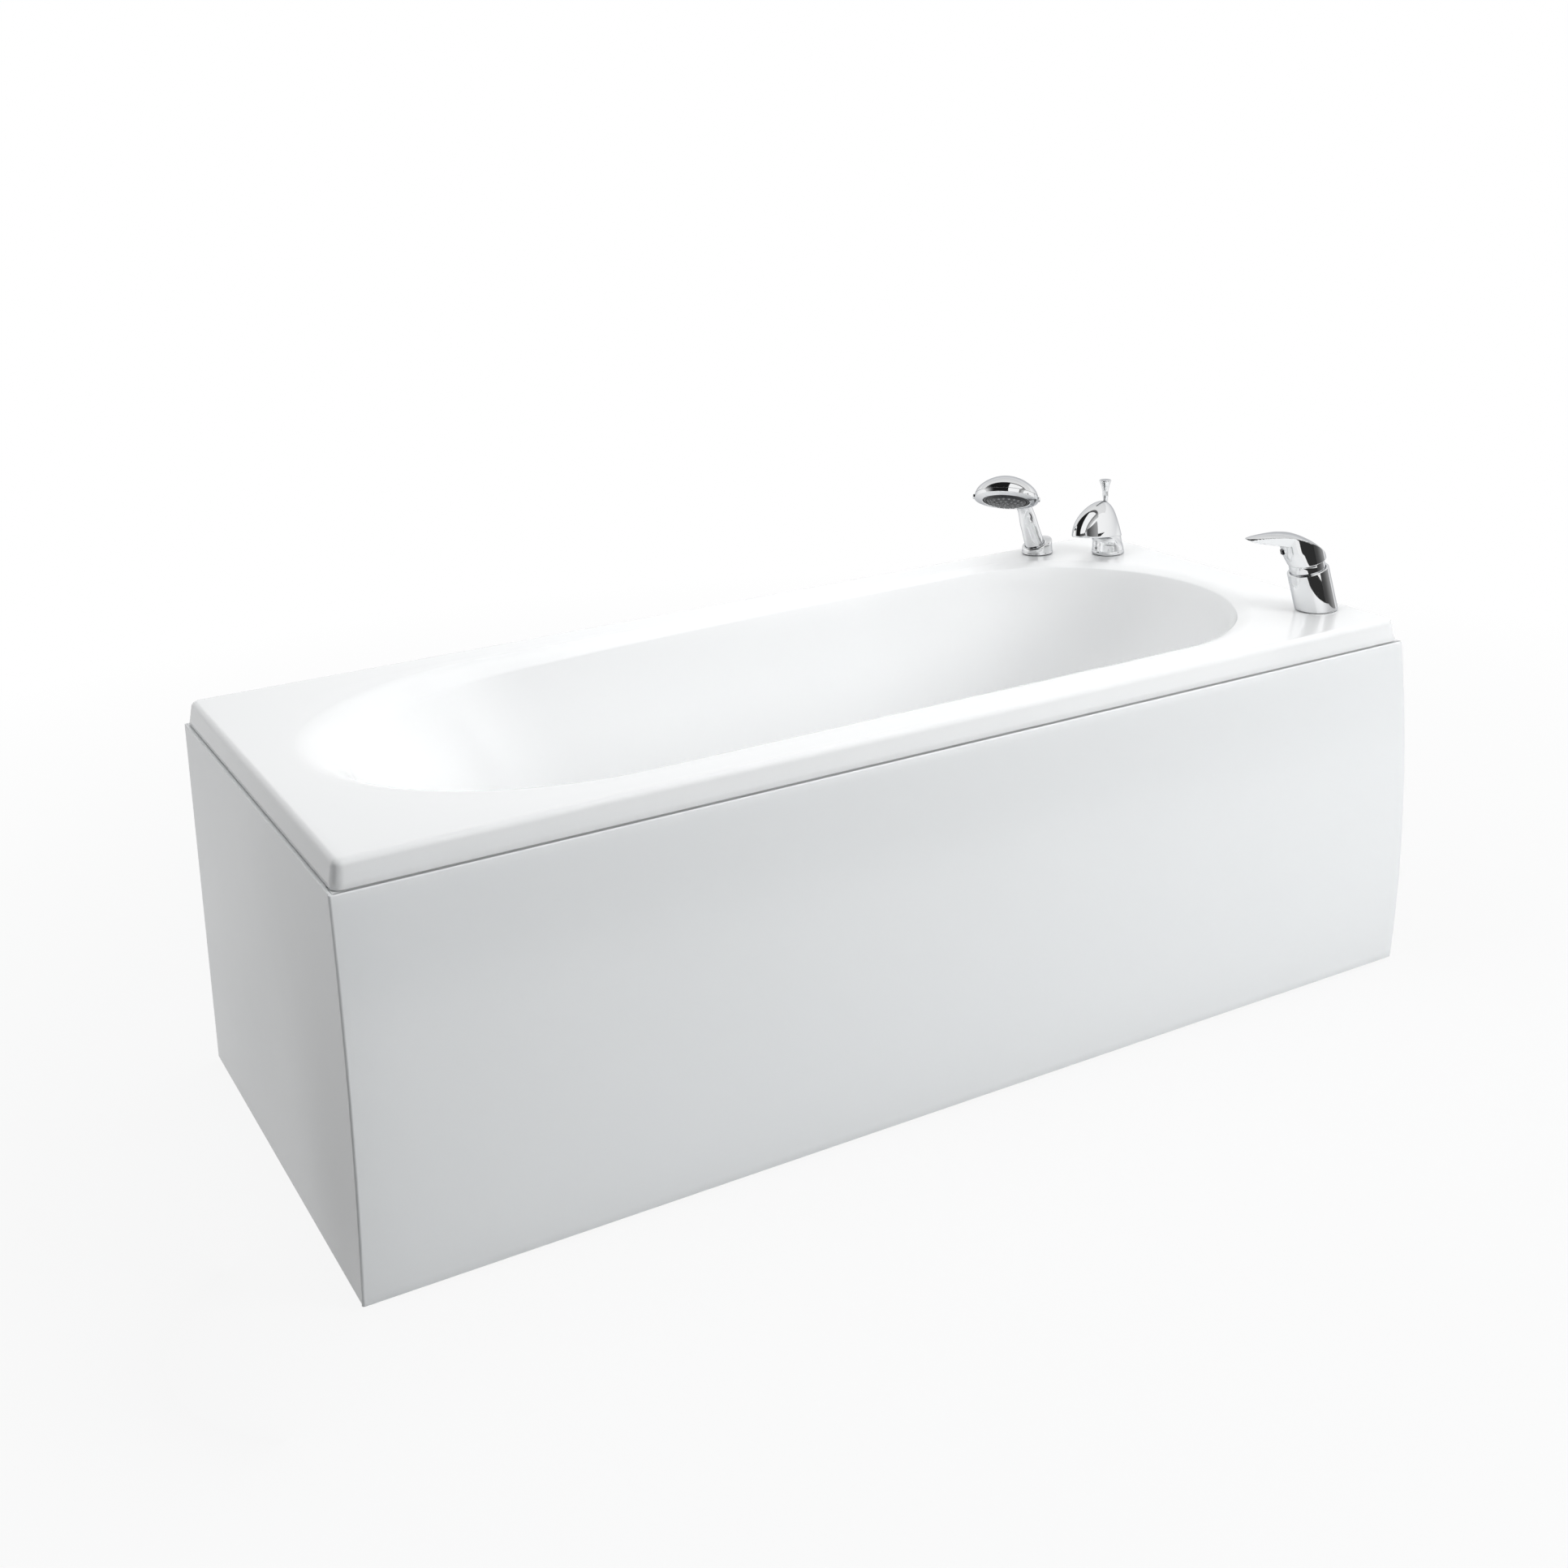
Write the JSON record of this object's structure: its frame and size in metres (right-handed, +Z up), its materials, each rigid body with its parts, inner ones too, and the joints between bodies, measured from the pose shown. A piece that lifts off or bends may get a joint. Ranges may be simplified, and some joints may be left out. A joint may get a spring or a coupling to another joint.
{
  "type": "bathtub",
  "caption": "Rectangular acrylic bathtub with bowed front panel and end panel, leaning lever mixer, domed spout with diverter, hand shower in a deck holder, pop-up waste and levelling feet.",
  "frame": {"origin": "on the floor under the middle of the outer box", "axes": "+X along the tub towards the fittings, -Y towards the front panel, +Z up"},
  "size_m": [1.605, 0.714, 0.6914],
  "materials": {
    "white_acrylic": "gloss",
    "batten_wood": "sawn",
    "zinc_steel": "zinc plated",
    "white_plastic": "satin",
    "black_rubber": "matte",
    "brass": "turned",
    "chrome": "polished",
    "grey_plastic": "satin",
    "black_plastic": "gloss",
    "foot_plastic": "moulded"
  },
  "bodies": {
    "tub": {"tub_shell": "white_acrylic", "front_panel": "white_acrylic", "end_panel": "white_acrylic", "front_batten": "batten_wood", "back_batten": "batten_wood", "head_batten": "batten_wood", "tap_batten": "batten_wood", "baseboard": "batten_wood", "corner_blocks": "batten_wood", "panel_clips": "zinc_steel", "wood_screws": "zinc_steel", "panel_stays": "zinc_steel", "head_leg_bar": "zinc_steel", "tap_leg_bar": "zinc_steel", "foot_nuts": "zinc_steel", "deck_washers": "zinc_steel", "waste_body": "white_plastic", "trap_nut": "white_plastic", "trap_cup": "white_plastic", "overflow_body": "white_plastic", "overflow_pipe": "white_plastic", "flow_insert": "white_plastic", "waste_seal": "black_rubber", "overflow_seal": "black_rubber", "deck_gaskets": "black_rubber", "deck_nuts": "brass", "mixer_shank": "brass", "spout_shank": "brass", "holder_shank": "brass", "hot_tail": "brass", "cold_tail": "brass", "mixed_pipe": "brass", "cartridge_nut": "brass", "waste_flange": "chrome", "overflow_flange": "chrome", "mixer_body": "chrome", "mixer_collar": "chrome", "spout_body": "chrome", "shower_holder": "chrome", "mixer_cartridge": "grey_plastic", "plug_cable": "black_plastic"},
    "head_front_foot": {"head_front_foot": "foot_plastic"},
    "head_back_foot": {"head_back_foot": "foot_plastic"},
    "tap_front_foot": {"tap_front_foot": "foot_plastic"},
    "tap_back_foot": {"tap_back_foot": "foot_plastic"},
    "mixer_turret": {"mixer_turret": "brass", "tilt_pin": "zinc_steel"},
    "mixer_lever": {"lever_stem": "brass", "mixer_lever": "chrome", "lever_screw": "zinc_steel", "index_plug": "black_plastic"},
    "diverter": {"diverter": "chrome"},
    "hand_shower": {"shower_handset": "chrome", "hose_nipple": "brass"},
    "spray_selector": {"selector_ring": "chrome", "spray_face": "grey_plastic"},
    "overflow_knob": {"overflow_knob": "chrome"},
    "plug": {"pop_up_plug": "chrome"}
  },
  "joints": [
    {"name": "head_front_foot_level", "type": "slide", "parent": "tub", "child": "head_front_foot", "axis": [0, 0, -1], "range_m": [0, 0.02]},
    {"name": "head_back_foot_level", "type": "slide", "parent": "tub", "child": "head_back_foot", "axis": [0, 0, -1], "range_m": [0, 0.02]},
    {"name": "tap_front_foot_level", "type": "slide", "parent": "tub", "child": "tap_front_foot", "axis": [0, 0, -1], "range_m": [0, 0.02]},
    {"name": "tap_back_foot_level", "type": "slide", "parent": "tub", "child": "tap_back_foot", "axis": [0, 0, -1], "range_m": [0, 0.02]},
    {"name": "mixer_turn", "type": "hinge", "parent": "tub", "child": "mixer_turret", "pos_m": [0.7435, -0.23349, 0.54], "axis": [-0.2139, 0.0695, 0.9744], "range_deg": [-50, 50]},
    {"name": "lever_lift", "type": "hinge", "parent": "mixer_turret", "child": "mixer_lever", "pos_m": [0.72831, -0.22855, 0.60918], "axis": [0.309, 0.9511, 0], "range_deg": [0, 20]},
    {"name": "diverter_pull", "type": "slide", "parent": "tub", "child": "diverter", "axis": [0, 0, 1], "range_m": [0, 0.012]},
    {"name": "handset_lift", "type": "slide", "parent": "tub", "child": "hand_shower", "axis": [-0.2924, 0, 0.9563], "range_m": [0, 0.15]},
    {"name": "spray_turn", "type": "hinge", "parent": "hand_shower", "child": "spray_selector", "pos_m": [0.54255, 0.27721, 0.65104], "axis": [0.3382, 0.348, 0.8744], "range_deg": [-40, 40]},
    {"name": "overflow_turn", "type": "hinge", "parent": "tub", "child": "overflow_knob", "pos_m": [0.4025, -0.24833, 0.47], "axis": [0, 0.9867, 0.1628], "range_deg": [0, 90]},
    {"name": "plug_lift", "type": "slide", "parent": "tub", "child": "plug", "axis": [0, 0, 1], "range_m": [0, 0.01]}
  ],
  "couplings": [
    {"joint": "plug_lift", "follows": "overflow_turn", "m_per_rad": 0.0063662}
  ]
}
